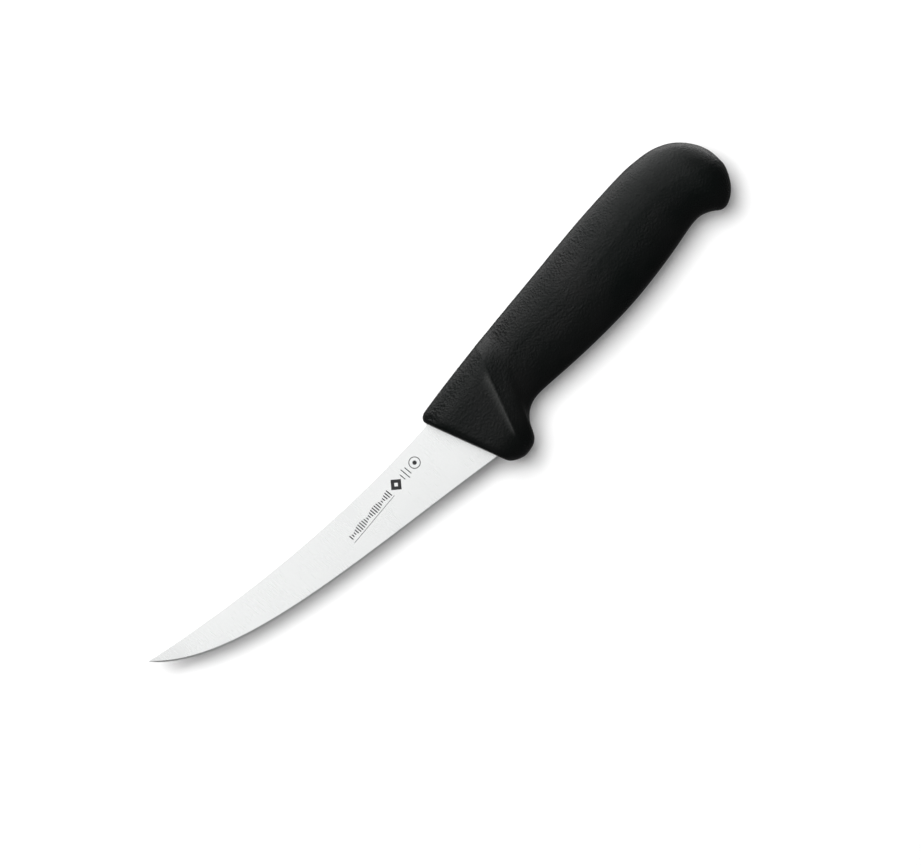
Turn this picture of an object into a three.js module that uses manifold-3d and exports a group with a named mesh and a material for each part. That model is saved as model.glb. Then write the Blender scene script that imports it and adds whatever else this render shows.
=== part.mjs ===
// Curved boning knife with a moulded handle, lying on its side. Millimetres, +Z up.
//
// It is three pieces: one steel blank (blade and tang), a hard core moulded round the tang, and a soft
// textured grip moulded over the core. They are drawn in drawing axes: +X runs from the tip to the butt,
// +Y from the cutting edge to the spine, and Z = 0 is the knife's plane of symmetry. The drawing's origin is
// where the line of the spine meets the front face of the handle. The finished group is then moved so that
// its origin is the middle of its bounding box, on the surface that it lies on.
import * as THREE from "three";
import { mergeVertices } from "three/addons/utils/BufferGeometryUtils.js";
import Module from "manifold-3d";

const wasm = await Module();
wasm.setup();

// ---------------------------------------------------------------- driving dimensions, in mm
const fitGap = 0.3; // between any two of the three pieces

const blade = {
  reach: 123.6, // from the drawing's origin to the tip, along X
  tipRise: 21.3, // height of the tip above the origin
  heelTop: 0.5, // where the spine meets the front face
  heelHeight: 26.2, // spine to edge, where the blade leaves the handle
  spineThickness: 2.0,
  tipThickness: 0.9,
  shoulderThickness: 0.4, // just behind the sharpened bevel
  bevelWidth: 0.8,
  edgeThickness: 0.08,
};

const tang = {
  shoulderDepth: 3.2, // how far the blade's full height goes into the handle
  frontHeight: 15,
  rearHeight: 11,
  cornerRadius: 3,
  buttCover: 41.7, // from the tang's end to the end of the butt
  holeRadius: 3.2,
  holeCount: 3,
  firstHole: 28,
  endDistance: 16, // last hole to the tang's end
};

const handle = {
  length: 133.8, // from the drawing's origin to the end of the butt
  thickness: 21, // across the side flats, the palm swell and the pommel
  waistThickness: 16.6, // where thumb and index finger go, at the belly
  faceBorder: 2.9, // rounding from the side flats to the front face
  faceLean: 15.9, // degrees that the front face leans back towards the guard
  backHeight: 5.5, // the back of the handle, above the drawing's origin
  ridgeX: 30.4, // where the ridge behind the side flats reaches the back
  guardCover: 6.7, // guard below the blade's heel
  notchDepth: 27.8, // these four depths are from the back of the handle
  palmDepth: 32.5,
  throatDepth: 30.8,
  hookDepth: 35.7,
  buttLength: 24, // hook and rounded butt
};

const core = {
  skinWall: 2.8, // grip over the core, at the sides, the back and the belly
  frontSkin: 4.8, // grip in front of the core
  buttSkin: 9, // grip behind the core
  grooveWidth: 3,
  grooveDepth: 1.1,
  grooveCount: 5,
  grooveMargin: 9, // first and last groove to the ends of the handle's body
  windowRadius: 3.6, // hole right through the core, behind the tang
};

// ---------------------------------------------------------------- the handle's stations
// A station is a slice across the handle from a point on its back to a point on its belly. It has a half
// thickness at each end, and its sides round off over a share of the slice at each end. Stations follow
// the front face, then fan round the guard, and fan again round the hooked butt.
const between = (a, b, share) => THREE.MathUtils.lerp(a, b, share);
const leanAngle = THREE.MathUtils.degToRad(handle.faceLean);
const onFace = (y) => -y * Math.tan(leanAngle);
const fromFace = (distance, y) => [onFace(y) + distance, y];
const fromButt = (distance) => handle.length - distance;

const back = handle.backHeight;
const heelBottom = blade.heelTop - blade.heelHeight;
const guardLine = heelBottom - handle.guardCover;
const notchLine = back - handle.notchDepth;
const palmLine = back - handle.palmDepth;
const throatLine = back - handle.throatDepth;
const hookLine = back - handle.hookDepth;

const bodyStart = handle.ridgeX + 6;
const bodyEnd = fromButt(handle.buttLength);
const body = (share, y) => [between(bodyStart, bodyEnd, share), y];
const ridge = (distance, drop) => [handle.ridgeX + distance, back - drop];
const notchX = handle.ridgeX + 3.2; // the deepest place of the finger notch
const butt = (distance, y) => [fromButt(distance), y];
const toPalm = (share) => between(notchLine, palmLine, share);
const pastPalm = (share) => between(palmLine, throatLine, share);

const full = handle.thickness / 2;
const face = full - handle.faceBorder;
const waist = handle.waistThickness / 2;
const border = (share) => between(face, full, share);
const swell = (share) => between(waist, full, share);

const flatRounding = [0.27, 0.33];
const palmRounding = [0.42, 0.54];
const pommelRounding = [0.47, 0.49];

// back point, belly point, half thickness at the back and at the belly, rounding, fullness of the corners
const gripTable = [
  // the front face and its rounded border
  [fromFace(0, 1.1), fromFace(0, guardLine + 4.8), face, face, [0.16, 0.2], 2.4],
  [fromFace(1, back - 2.8), fromFace(0.2, guardLine + 3.1), border(0.62), border(0.62), [0.17, 0.24], 2.4],
  [fromFace(2.7, back - 1.85), fromFace(1.3, guardLine + 1.65), border(0.9), border(0.9), flatRounding, 2.4],
  [fromFace(5.1, back - 1.5), fromFace(2.3, guardLine + 0.95), full, full, flatRounding, 2.4],
  // the side flat, as far as the ridge that runs from the back down to the guard
  [[16.4, back - 0.85], fromFace(3.2, guardLine + 0.45), full, full, flatRounding, 2.4],
  [ridge(0, 0.4), fromFace(3.9, guardLine + 0.15), full, full, flatRounding, 2.4],
  // down the ridge into the waist, behind the guard
  [ridge(1.0, 0.35), fromFace(4.9, guardLine), swell(0.97), swell(0.88), [0.21, 0.32], 2.35],
  [ridge(2.2, 0.35), fromFace(6.3, guardLine), swell(0.9), swell(0.7), [0.23, 0.38], 2.3],
  [ridge(4.2, 0.3), fromFace(9.1, guardLine + 0.4), swell(0.78), swell(0.44), [0.27, 0.46], 2.3],
  [ridge(6.4, 0.3), fromFace(12, guardLine + 2.1), swell(0.68), swell(0.24), [0.31, 0.54], 2.2],
  [ridge(8.8, 0.25), fromFace(14.6, guardLine + 5.1), swell(0.62), swell(0.1), [0.35, 0.58], 2.2],
  [ridge(11.4, 0.2), fromFace(17.8, notchLine - 2.2), swell(0.6), waist, [0.37, 0.6], 2.2],
  [ridge(15, 0.2), fromFace(22.1, notchLine - 0.3), swell(0.6), swell(0.02), [0.37, 0.6], 2.2],
  [body(0.17, back - 0.15), [notchX, notchLine], swell(0.64), swell(0.14), [0.38, 0.59], 2.2],
  // the palm swell
  [body(0.27, back - 0.1), body(0.12, toPalm(0.38)), swell(0.73), swell(0.42), [0.4, 0.57], 2.2],
  [body(0.41, back), body(0.31, toPalm(0.76)), swell(0.88), swell(0.8), palmRounding, 2.2],
  [body(0.56, back + 0.15), body(0.52, palmLine - 0.05), full, full, palmRounding, 2.2],
  [body(0.7, back + 0.15), body(0.69, palmLine), full, full, palmRounding, 2.2],
  [body(0.86, back - 0.25), body(0.87, pastPalm(0.45)), swell(0.95), swell(0.92), palmRounding, 2.2],
  // the throat of the hook, the hook and the rounded butt
  [butt(25, back - 0.75), butt(24.5, throatLine + 0.05), swell(0.93), swell(0.88), [0.44, 0.52], 2.2],
  [butt(19.5, back - 1.6), butt(19.2, throatLine - 0.15), swell(0.94), swell(0.88), pommelRounding, 2.2],
  [butt(13.9, back - 2.9), butt(15.3, hookLine + 2.6), swell(0.97), swell(0.92), pommelRounding, 2.15],
  [butt(9.7, back - 4.8), butt(13.2, hookLine + 0.6), full, swell(0.95), pommelRounding, 2.1],
  [butt(6.3, back - 7.2), butt(10.7, hookLine), full * 0.97, full * 0.93, pommelRounding, 2.1],
  [butt(3.7, back - 10.2), butt(7.6, hookLine + 1.1), full * 0.89, full * 0.85, pommelRounding, 2.05],
  [butt(1.9, back - 13.2), butt(4.6, hookLine + 3.3), full * 0.74, full * 0.72, pommelRounding, 2],
  [butt(0.7, back - 16.2), butt(2.1, hookLine + 6.6), full * 0.5, full * 0.5, pommelRounding, 2],
  [butt(0, back - 19.4), butt(0.3, hookLine + 10.1), full * 0.22, full * 0.22, pommelRounding, 2],
];

// The core keeps under the back, above the finger notch and inside the waist, so it leaves the guard and
// the ridge to the grip. Its slices stand upright.
const coreSlice = (x, top, bottom, halfBack, halfBelly) => [
  [x, top - core.skinWall],
  [x, bottom + core.skinWall],
  halfBack - core.skinWall,
  halfBelly - core.skinWall,
  palmRounding,
  2.2,
];
const coreTable = [
  coreSlice(0, back - 1.5, notchLine, swell(0.55), waist),
  coreSlice(notchX / 2, back - 0.9, notchLine, swell(0.55), waist),
  coreSlice(notchX, back - 0.4, notchLine, swell(0.55), waist),
  coreSlice(body(0.12)[0], back - 0.2, toPalm(0.36), swell(0.62), swell(0.08)),
  coreSlice(body(0.31)[0], back - 0.1, toPalm(0.74), swell(0.78), swell(0.6)),
  coreSlice(body(0.52)[0], back, palmLine, swell(0.96), swell(0.96)),
  coreSlice(body(0.69)[0], back, palmLine, swell(0.98), swell(0.98)),
  coreSlice(body(0.87)[0], back - 0.4, pastPalm(0.5), swell(0.92), swell(0.86)),
  coreSlice(fromButt(21), back - 1.4, throatLine, swell(0.9), swell(0.8)),
  coreSlice(fromButt(14), back - 3, throatLine, swell(0.9), swell(0.8)),
  coreSlice(fromButt(7), back - 6.5, throatLine, swell(0.88), swell(0.8)),
];

// ---------------------------------------------------------------- shapes
// Slices at even steps along smooth runs through a table's stations. The third coordinate of each run is
// the half thickness there.
function slicesOf(table, perStation) {
  const last = table.length - 1;
  const runs = [0, 1].map((end) => {
    return new THREE.CatmullRomCurve3(table.map((row) => new THREE.Vector3(...row[end], row[2 + end])));
  });
  const slices = [];
  for (let i = 0; i <= last * perStation; i++) {
    const index = i / perStation;
    const [top, bottom] = runs.map((run) => run.getPoint(index / last));
    const lower = Math.min(Math.floor(index), last - 1);
    const blend = (read) => between(read(table[lower]), read(table[lower + 1]), index - lower);
    slices.push({
      top: new THREE.Vector2(top.x, top.y),
      bottom: new THREE.Vector2(bottom.x, bottom.y),
      halves: [Math.min(top.z, full), Math.min(bottom.z, full)],
      rounding: [blend((row) => row[4][0]), blend((row) => row[4][1])],
      fullness: blend((row) => row[5]),
    });
  }
  return slices;
}

// One closed ring of points for a slice, taken in by inset on all sides.
function sliceRing(slice, inset, arcSteps, flatSteps) {
  const run = slice.bottom.clone().sub(slice.top);
  const length = run.length() - 2 * inset;
  const direction = run.normalize();
  const start = slice.top.clone().addScaledVector(direction, inset);
  const halfAt = (share) => between(slice.halves[0], slice.halves[1], share) - inset;
  const power = 2 / slice.fullness;
  const side = [];
  for (let i = 0; i < arcSteps; i++) {
    const angle = ((i / arcSteps) * Math.PI) / 2;
    side.push([slice.rounding[0] * (1 - Math.cos(angle) ** power), Math.sin(angle) ** power]);
  }
  for (let i = 0; i <= flatSteps; i++) {
    side.push([between(slice.rounding[0], 1 - slice.rounding[1], i / flatSteps), 1]);
  }
  for (let i = 1; i < arcSteps; i++) {
    const angle = (1 - i / arcSteps) * (Math.PI / 2);
    side.push([1 - slice.rounding[1] * (1 - Math.cos(angle) ** power), Math.sin(angle) ** power]);
  }
  const point = (share, z) => {
    const at = start.clone().addScaledVector(direction, share * length);
    return new THREE.Vector3(at.x, at.y, z);
  };
  const upper = side.map(([share, height]) => point(share, height * halfAt(share)));
  const lower = side.slice(1).map(([share, height]) => point(share, -height * halfAt(share)));
  return [...upper, point(1, 0), ...lower.reverse()];
}

// A closed skin over rings of equal length, with a fan over each end.
function loft(rings) {
  const count = rings[0].length;
  const points = rings.flat();
  const middle = (ring) => ring.reduce((sum, p) => sum.add(p), new THREE.Vector3()).divideScalar(count);
  const first = points.length;
  const last = first + 1;
  points.push(middle(rings[0]), middle(rings[rings.length - 1]));
  const index = [];
  for (let r = 0; r < rings.length - 1; r++) {
    for (let i = 0; i < count; i++) {
      const a = r * count + i;
      const b = r * count + ((i + 1) % count);
      index.push(a, b, a + count, b, b + count, a + count);
    }
  }
  const end = (rings.length - 1) * count;
  for (let i = 0; i < count; i++) {
    const next = (i + 1) % count;
    index.push(first, next, i);
    index.push(last, end + i, end + next);
  }
  return new THREE.BufferGeometry().setFromPoints(points).setIndex(index);
}

function toSolid(geometry) {
  const bare = new THREE.BufferGeometry().setAttribute("position", geometry.getAttribute("position"));
  if (geometry.index) bare.setIndex(geometry.index);
  const merged = mergeVertices(bare, 1e-4);
  const mesh = new wasm.Mesh({
    numProp: 3,
    vertProperties: new Float32Array(merged.attributes.position.array),
    triVerts: new Uint32Array(merged.index.array),
  });
  const solid = new wasm.Manifold(mesh);
  if (solid.volume() > 0) return solid;
  for (let i = 0; i < mesh.triVerts.length; i += 3) {
    [mesh.triVerts[i], mesh.triVerts[i + 1]] = [mesh.triVerts[i + 1], mesh.triVerts[i]];
  }
  return new wasm.Manifold(mesh);
}

function toGeometry(solid) {
  const mesh = solid.getMesh();
  const geometry = new THREE.BufferGeometry();
  geometry.setAttribute("position", new THREE.BufferAttribute(mesh.vertProperties, 3));
  geometry.setIndex(new THREE.BufferAttribute(mesh.triVerts, 1));
  geometry.computeVertexNormals();
  return geometry;
}

// A flat plate of a shape in the X-Y plane, centred on the plane of symmetry.
function plate(shape, thickness) {
  const settings = { depth: thickness, bevelEnabled: false, curveSegments: 8 };
  const geometry = new THREE.ExtrudeGeometry(shape, settings);
  geometry.translate(0, 0, -thickness / 2);
  return toSolid(geometry);
}

function post(x, y, radius, height, segments) {
  const geometry = new THREE.CylinderGeometry(radius, radius, height, segments);
  geometry.rotateX(Math.PI / 2);
  geometry.translate(x, y, 0);
  return toSolid(geometry);
}

// ---------------------------------------------------------------- blade and tang
// Spine and edge run from the front face to the tip. A bend is a control point, given as the shares of the
// way along X and along Y. Grow widens the whole blank evenly, for the slot that it sits in.
function curveBetween(start, end, bends) {
  const controls = bends.map(([along, across]) => {
    return new THREE.Vector2(between(start.x, end.x, along), between(start.y, end.y, across));
  });
  return new THREE.CubicBezierCurve(start, ...controls, end);
}

const tip = new THREE.Vector2(-blade.reach, blade.tipRise);
const heelSpine = new THREE.Vector2(...fromFace(0, blade.heelTop));
const heelEdge = new THREE.Vector2(...fromFace(0, heelBottom));
const spineLine = curveBetween(heelSpine, tip, [[0.486, 0.097], [0.848, 0.759]]);
const edgeLine = curveBetween(heelEdge, tip, [[0.433, 0.3], [0.858, 0.457]]);

function bladeRing(spine, edge, thickness, grow) {
  const run = edge.clone().sub(spine);
  const direction = run.clone().normalize();
  const top = spine.clone().addScaledVector(direction, -grow);
  const bottom = edge.clone().addScaledVector(direction, grow);
  const bevel = Math.min(blade.bevelWidth, 0.4 * run.length());
  const shoulder = edge.clone().addScaledVector(direction, -bevel);
  const behindBevel = Math.min(blade.shoulderThickness, 0.8 * thickness);
  const corners = [
    [top, thickness / 2 + grow],
    [shoulder, behindBevel / 2 + grow],
    [bottom, blade.edgeThickness / 2 + grow],
  ];
  const side = corners.map(([p, z]) => new THREE.Vector3(p.x, p.y, z));
  const otherSide = corners.map(([p, z]) => new THREE.Vector3(p.x, p.y, -z));
  return [...side, ...otherSide.reverse()];
}

function groundBlade(grow) {
  const steps = 44;
  const lastShare = 0.997; // the last slice, just short of the tip
  const inside = (curve) => {
    const heading = curve.getTangent(0);
    const distance = (tang.shoulderDepth + grow) / Math.abs(heading.x);
    return curve.getPoint(0).addScaledVector(heading, -distance);
  };
  const rings = [bladeRing(inside(spineLine), inside(edgeLine), blade.spineThickness, grow)];
  for (let i = 0; i <= steps; i++) {
    const share = lastShare * (i / steps);
    const thickness = between(blade.spineThickness, blade.tipThickness, share);
    rings.push(bladeRing(spineLine.getPoint(share), edgeLine.getPoint(share), thickness, grow));
  }
  return toSolid(loft(rings));
}

// The tang lies midway between the core's back and the bottom of the finger notch.
const tangY = back - handle.notchDepth / 2;
const tangEnd = fromButt(tang.buttCover);

function tangShape(grow) {
  const halfFront = tang.frontHeight / 2 + grow;
  const halfRear = tang.rearHeight / 2 + grow;
  const radius = tang.cornerRadius + grow;
  const rear = tangEnd + grow;
  const shape = new THREE.Shape();
  const front = tang.shoulderDepth / 2 - grow;
  shape.moveTo(...fromFace(front, tangY - halfFront));
  shape.lineTo(rear - radius, tangY - halfRear);
  shape.quadraticCurveTo(rear, tangY - halfRear, rear, tangY - halfRear + radius);
  shape.lineTo(rear, tangY + halfRear - radius);
  shape.quadraticCurveTo(rear, tangY + halfRear, rear - radius, tangY + halfRear);
  shape.lineTo(...fromFace(front, tangY + halfFront));
  shape.closePath();
  return shape;
}

function blank(grow) {
  let solid = groundBlade(grow).add(plate(tangShape(grow), blade.spineThickness + 2 * grow));
  for (let i = 0; i < tang.holeCount; i++) {
    const x = between(tang.firstHole, tangEnd - tang.endDistance, i / (tang.holeCount - 1));
    solid = solid.subtract(post(x, tangY, tang.holeRadius - grow, 3 * blade.spineThickness, 32));
  }
  return solid;
}

// ---------------------------------------------------------------- core and grip
function bodyFrom(table, inset, perStation, arcSteps, flatSteps) {
  const rings = slicesOf(table, perStation).map((slice) => sliceRing(slice, inset, arcSteps, flatSteps));
  return toSolid(loft(rings));
}

function slab(x, width) {
  const geometry = new THREE.BoxGeometry(width, 3 * handle.palmDepth, 2 * handle.thickness);
  geometry.translate(x, 0, 0);
  return toSolid(geometry);
}

// All that lies between a plane behind the front face, parallel to it, and a plane before the butt.
function betweenEnds(behindFace, beforeButt) {
  const tall = 3 * handle.palmDepth;
  const shape = new THREE.Shape();
  shape.moveTo(...fromFace(behindFace / Math.cos(leanAngle), tall));
  shape.lineTo(...fromFace(behindFace / Math.cos(leanAngle), -tall));
  shape.lineTo(fromButt(beforeButt), -tall);
  shape.lineTo(fromButt(beforeButt), tall);
  shape.closePath();
  return plate(shape, 2 * handle.thickness);
}

function coreBody(grow) {
  const grooveFloor = bodyFrom(coreTable, core.grooveDepth - grow, 2, 5, 1);
  const ends = betweenEnds(core.frontSkin - grow, core.buttSkin - grow);
  let solid = bodyFrom(coreTable, -grow, 2, 5, 1).intersect(ends);
  for (let i = 0; i < core.grooveCount; i++) {
    const first = bodyStart + core.grooveMargin;
    const x = between(first, bodyEnd - core.grooveMargin, i / (core.grooveCount - 1));
    solid = solid.subtract(slab(x, core.grooveWidth - 2 * grow).subtract(grooveFloor));
  }
  const windowX = between(tangEnd, fromButt(core.buttSkin), 0.4);
  return solid.subtract(post(windowX, tangY, core.windowRadius - grow, 2 * handle.thickness, 32));
}

const outerShape = bodyFrom(gripTable, 0, 2, 6, 2);

// ---------------------------------------------------------------- the knife
const steel = new THREE.MeshStandardMaterial({ color: 0xd9dbda, roughness: 0.32, metalness: 1.0 });
const hardPlastic = new THREE.MeshStandardMaterial({ color: 0x1c1d1d, roughness: 0.5, metalness: 0.0 });
const softSkin = new THREE.MeshStandardMaterial({ color: 0x161717, roughness: 0.72, metalness: 0.0 });

function piece(name, solid, material) {
  const mesh = new THREE.Mesh(toGeometry(solid), material);
  mesh.name = name;
  return mesh;
}

const knife = new THREE.Group();
knife.add(piece("blade", blank(0), steel));
knife.add(piece("handle_core", coreBody(0).subtract(blank(fitGap)), hardPlastic));
knife.add(piece("handle_grip", outerShape.subtract(coreBody(fitGap)).subtract(blank(fitGap)), softSkin));

const bounds = new THREE.Box3().setFromObject(knife);
const middle = bounds.getCenter(new THREE.Vector3());
knife.position.set(-middle.x, -middle.y, -bounds.min.z);

const assembly = new THREE.Group();
assembly.add(knife);

export default assembly;
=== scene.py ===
"""Looks for a curved boning knife that lies on its side.

Sizes are in millimetres, in drawing axes: +X runs from the blade to the butt, +Y from the cutting edge to
the spine, and Z is zero on the knife's plane of symmetry. The drawing's origin is where the line of the
spine meets the handle's front face. Drawing.place turns them into metres in the frame of the CAD model.
"""

import logging
import math
from dataclasses import dataclass, field
from enum import Enum
from typing import Callable, Sequence, Union

import bmesh
import bpy
from mathutils import Matrix, Vector


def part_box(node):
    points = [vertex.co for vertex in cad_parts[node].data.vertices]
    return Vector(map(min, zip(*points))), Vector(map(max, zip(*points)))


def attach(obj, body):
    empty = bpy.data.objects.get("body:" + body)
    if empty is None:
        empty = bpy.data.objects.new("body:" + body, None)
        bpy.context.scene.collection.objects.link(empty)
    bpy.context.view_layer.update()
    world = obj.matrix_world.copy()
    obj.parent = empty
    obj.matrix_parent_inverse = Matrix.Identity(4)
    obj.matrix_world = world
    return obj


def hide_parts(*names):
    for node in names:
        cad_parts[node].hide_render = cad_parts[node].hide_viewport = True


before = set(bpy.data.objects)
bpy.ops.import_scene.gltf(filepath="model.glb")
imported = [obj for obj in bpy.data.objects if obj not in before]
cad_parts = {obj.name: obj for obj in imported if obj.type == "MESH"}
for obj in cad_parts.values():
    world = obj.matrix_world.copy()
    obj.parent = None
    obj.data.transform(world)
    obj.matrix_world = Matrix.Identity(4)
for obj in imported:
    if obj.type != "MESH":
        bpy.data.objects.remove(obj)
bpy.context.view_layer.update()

LOG = logging.getLogger("boning_knife")
MM = 0.001
WELD_DISTANCE = 0.001 * MM
ROOT = "root"


# ---- drawing
@dataclass
class Drawing:
    """The place of the drawing's axes in the model's frame, found from the CAD nodes.

    Args:
        handle_length: from the drawing's origin to the end of the butt.
        guard_depth: the lowest point of the guard, below the drawing's origin.
        face_lean: degrees that the handle's front face leans back towards the guard.
    """

    handle_length: float = 133.8
    guard_depth: float = 32.4
    face_lean: float = 15.9
    origin: Vector = field(init=False)

    def __post_init__(self) -> None:
        """Finds the drawing's origin in the model's frame, in metres."""
        low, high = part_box("handle_grip")
        x = high.x - self.handle_length * MM
        y = low.y + self.guard_depth * MM
        self.origin = Vector((x, y, (low.z + high.z) / 2))

    def place(self, x: float, y: float, z: float = 0.0) -> Vector:
        """Returns a point of the drawing in the model's frame, in metres."""
        return self.origin + Vector((x, y, z)) * MM

    @property
    def face_slope(self) -> float:
        """How far the front face goes back for each unit of depth."""
        return math.tan(math.radians(self.face_lean))

    def on_face(self, distance: float, y: float) -> tuple[float, float]:
        """Returns the point at a height that lies a distance behind the front face."""
        return (distance - y * self.face_slope, y)


def lerp(start: float, end: float, share: float) -> float:
    """Returns the value that lies a share of the way from start to end."""
    return start + (end - start) * share


def catmull(points: Sequence[Vector], place: float) -> Vector:
    """Reads a smooth run through points.

    Args:
        points: what the run goes through.
        place: index along the points, which may lie between two of them.

    Returns:
        The point of the run there.
    """
    last = len(points) - 1
    index = min(int(place), last - 1)
    t = place - index
    before, start = points[max(index - 1, 0)], points[index]
    end, after = points[index + 1], points[min(index + 2, last)]
    return 0.5 * (
        2 * start
        + (end - before) * t
        + (2 * before - 5 * start + 4 * end - after) * t**2
        + (3 * start - before - 3 * end + after) * t**3
    )


def bezier(start: Vector, first: Vector, second: Vector, end: Vector, share: float) -> Vector:
    """Reads a cubic curve.

    Args:
        start: where it starts.
        first: the control point near the start.
        second: the control point near the end.
        end: where it ends.
        share: how far along.

    Returns:
        The point of the curve there.
    """
    rest = 1 - share
    inner = 3 * rest**2 * share * first + 3 * rest * share**2 * second
    return rest**3 * start + inner + share**3 * end


# ---- mesh tools
Ring = list[bmesh.types.BMVert]


class RingLoft:
    """A skin that grows ring by ring, by extruding the last ring's edges.

    Args:
        count: the number of points in each ring.
    """

    def __init__(self, count: int) -> None:
        """Starts with no ring."""
        self.count = count
        self.mesh = bmesh.new()
        self.crease = self.mesh.edges.layers.float.new("crease_edge")
        # per-vertex mask for a painted highlight on the ridge, which the skin also makes smoother
        self.highlight_and_polish = self.mesh.verts.layers.float.new("highlight_and_polish")
        self.ring: Ring = []

    def add(self, points: Sequence[Vector]) -> Ring:
        """Adds a ring.

        Args:
            points: where its points go, in order round the ring.

        Returns:
            The new ring's vertices, in the same order.
        """
        if not self.ring:
            made = bmesh.ops.create_circle(self.mesh, cap_ends=False, radius=1, segments=self.count)
            fresh = made["verts"]
        else:
            grown = bmesh.ops.extrude_edge_only(self.mesh, edges=self.edges_of(self.ring))
            new = {item for item in grown["geom"] if isinstance(item, bmesh.types.BMVert)}
            fresh = [self.partner(vertex, new) for vertex in self.ring]
        for vertex, point in zip(fresh, points, strict=True):
            vertex.co = point
        self.ring = fresh
        return fresh

    @staticmethod
    def partner(vertex: bmesh.types.BMVert, new: set[bmesh.types.BMVert]) -> bmesh.types.BMVert:
        """Returns the new vertex that was extruded from an old one."""
        ends = (edge.other_vert(vertex) for edge in vertex.link_edges)
        return next(end for end in ends if end in new)

    @staticmethod
    def edges_of(ring: Ring) -> list[bmesh.types.BMEdge]:
        """Returns the edges that join a ring's neighbouring vertices."""
        pairs = zip(ring, ring[1:] + ring[:1], strict=True)
        return [edge for one, other in pairs for edge in one.link_edges if edge.other_vert(one) is other]

    def cap(self, ring: Ring) -> None:
        """Closes the first or the last ring with one face."""
        bmesh.ops.contextual_create(self.mesh, geom=self.edges_of(ring))

    def sharpen(self, ring: Ring, amount: float, first: int, last: int) -> None:
        """Creases some of a ring's edges for the subdivision.

        Args:
            ring: the ring whose edges are creased.
            amount: 0 for smooth, 1 for sharp.
            first: index of the first edge.
            last: index after the last edge.
        """
        for edge in self.edges_of(ring)[first:last]:
            edge[self.crease] = amount

    def mark_highlight_and_polish(self, vertices: Ring) -> None:
        """Marks vertices that get a painted highlight and are smoother, as if polished by handling."""
        for vertex in vertices:
            vertex[self.highlight_and_polish] = 1.0

    def finish(self) -> bmesh.types.BMesh:
        """Returns the mesh with its faces pointing outwards."""
        bmesh.ops.recalc_face_normals(self.mesh, faces=self.mesh.faces)
        return self.mesh


def make_object(name: str, mesh: bmesh.types.BMesh) -> bpy.types.Object:
    """Turns a bmesh into an object in the scene.

    Args:
        name: the object's name.
        mesh: the finished bmesh, which is freed.

    Returns:
        The object.
    """
    data = bpy.data.meshes.new(name)
    mesh.to_mesh(data)
    mesh.free()
    made = bpy.data.objects.new(name, data)
    bpy.context.scene.collection.objects.link(made)
    return made


def make_piece(name: str, mesh: bmesh.types.BMesh, material: bpy.types.Material) -> bpy.types.Object:
    """Turns a bmesh into a smooth-shaded piece of the knife.

    Args:
        name: the piece's name.
        mesh: the finished bmesh, which is freed.
        material: the only material.

    Returns:
        The piece.
    """
    piece = make_object(name, mesh)
    piece.data.materials.append(material)
    for polygon in piece.data.polygons:
        polygon.use_smooth = True
    return piece


def bake(piece: bpy.types.Object, sharp_angle: float) -> None:
    """Puts what the modifiers make into the piece's own mesh.

    Args:
        piece: the object, which keeps its material.
        sharp_angle: edges that bend by more degrees than this are shaded sharp.
    """
    graph = bpy.context.evaluated_depsgraph_get()
    whole = piece.evaluated_get(graph)
    data = bpy.data.meshes.new_from_object(whole, preserve_all_data_layers=True, depsgraph=graph)
    piece.modifiers.clear()
    piece.data = data
    data.set_sharp_from_angle(angle=math.radians(sharp_angle))


def cutting_copy(piece: bpy.types.Object, growth: float = 0.0) -> bpy.types.Object:
    """Makes a welded copy of a piece, to cut with.

    Args:
        piece: what is copied.
        growth: how far its surface moves out, in metres, or in if that is negative.

    Returns:
        The copy.
    """
    cutter = piece.copy()
    cutter.data = piece.data.copy()
    bpy.context.scene.collection.objects.link(cutter)
    weld = cutter.modifiers.new("weld", "WELD")
    weld.merge_threshold = WELD_DISTANCE
    grow = cutter.modifiers.new("grow", "DISPLACE")
    grow.mid_level = 0.0
    grow.strength = growth
    return cutter


def carve(piece: bpy.types.Object, cutters: Sequence[bpy.types.Object], sharp_angle: float) -> None:
    """Cuts objects out of a piece and removes them.

    Args:
        piece: what is cut.
        cutters: what is cut out of it.
        sharp_angle: edges that bend by more degrees than this are shaded sharp.
    """
    for cutter in cutters:
        cut = piece.modifiers.new("cut", "BOOLEAN")
        cut.operation = "DIFFERENCE"
        cut.solver = "EXACT"
        cut.object = cutter
    bake(piece, sharp_angle)
    for cutter in cutters:
        bpy.data.objects.remove(cutter)


def drill(centre: Vector, radius: float, depth: float, segments: int = 64) -> bpy.types.Object:
    """Makes an upright cylinder, to cut a hole with.

    Args:
        centre: its middle, in metres.
        radius: in metres.
        depth: its height, in metres.
        segments: sides of the cylinder.

    Returns:
        The cylinder.
    """
    mesh = bmesh.new()
    place = Matrix.Translation(centre)
    sizes = {"radius1": radius, "radius2": radius, "depth": depth, "segments": segments}
    bmesh.ops.create_cone(mesh, cap_ends=True, matrix=place, **sizes)
    return make_object("drill", mesh)


def subdivide(piece: bpy.types.Object, levels: int) -> None:
    """Adds a Subdivision Surface modifier, the same in the view as in the render."""
    modifier = piece.modifiers.new("smooth_skin", "SUBSURF")
    modifier.levels = modifier.render_levels = levels


# ---- shader tools
Value = Union["Wire", float, Sequence[float]]


def math_method(operation: str, flipped: bool = False) -> Callable[..., "Wire"]:
    """Makes a method of Wire that adds a Math node.

    Args:
        operation: the node's operation.
        flipped: whether the wire itself comes last, as in a reflected operator.

    Returns:
        The method. It takes the node's other values and returns its wire.
    """

    def method(self: "Wire", *others: Value) -> "Wire":
        """Adds the node."""
        return self.board.maths(operation, *((*others, self) if flipped else (self, *others)))

    return method


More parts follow.
